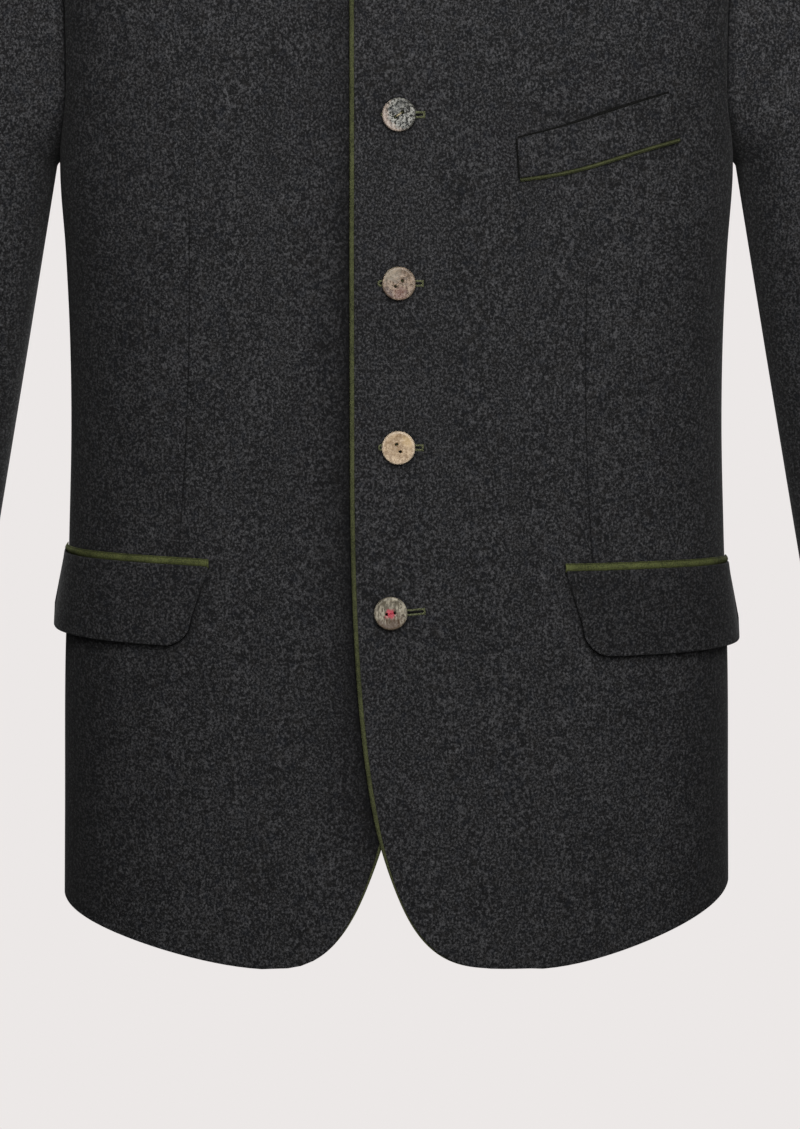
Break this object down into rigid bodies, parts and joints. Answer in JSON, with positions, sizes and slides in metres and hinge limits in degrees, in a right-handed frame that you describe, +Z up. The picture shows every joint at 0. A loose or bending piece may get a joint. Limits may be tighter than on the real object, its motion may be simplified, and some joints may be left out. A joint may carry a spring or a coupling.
{
  "type": "alpine jacket",
  "caption": "Hip-length felted wool jacket with a stand collar, corded cutaway fronts, flap pockets, a breast welt and antler buttons, hollow as when worn.",
  "frame": {"origin": "middle of the neck at the height of the neck ends of the shoulder seams, where the wearer's shoulders carry the jacket", "axes": "+Z up, -Y the way the front faces, +X towards the wearer's left"},
  "size_m": [0.7616, 0.2544, 0.7964],
  "materials": {
    "loden": "felted charcoal wool with fine light flecks and a short nap",
    "green_cord": "matt olive green felt",
    "antler": "polished antler, mottled beige and brown"
  },
  "bodies": {
    "root": {"front_left": "loden", "front_right": "loden", "back": "loden", "sleeve_left": "loden", "sleeve_right": "loden", "collar": "loden", "flap_left": "loden", "flap_right": "loden", "breast_welt": "loden", "front_left_piping": "green_cord", "front_right_piping": "green_cord", "flap_left_piping": "green_cord", "flap_right_piping": "green_cord", "breast_welt_piping": "green_cord", "button_1": "antler", "button_2": "antler", "button_3": "antler", "button_4": "antler", "button_5": "antler"}
  },
  "joints": []
}
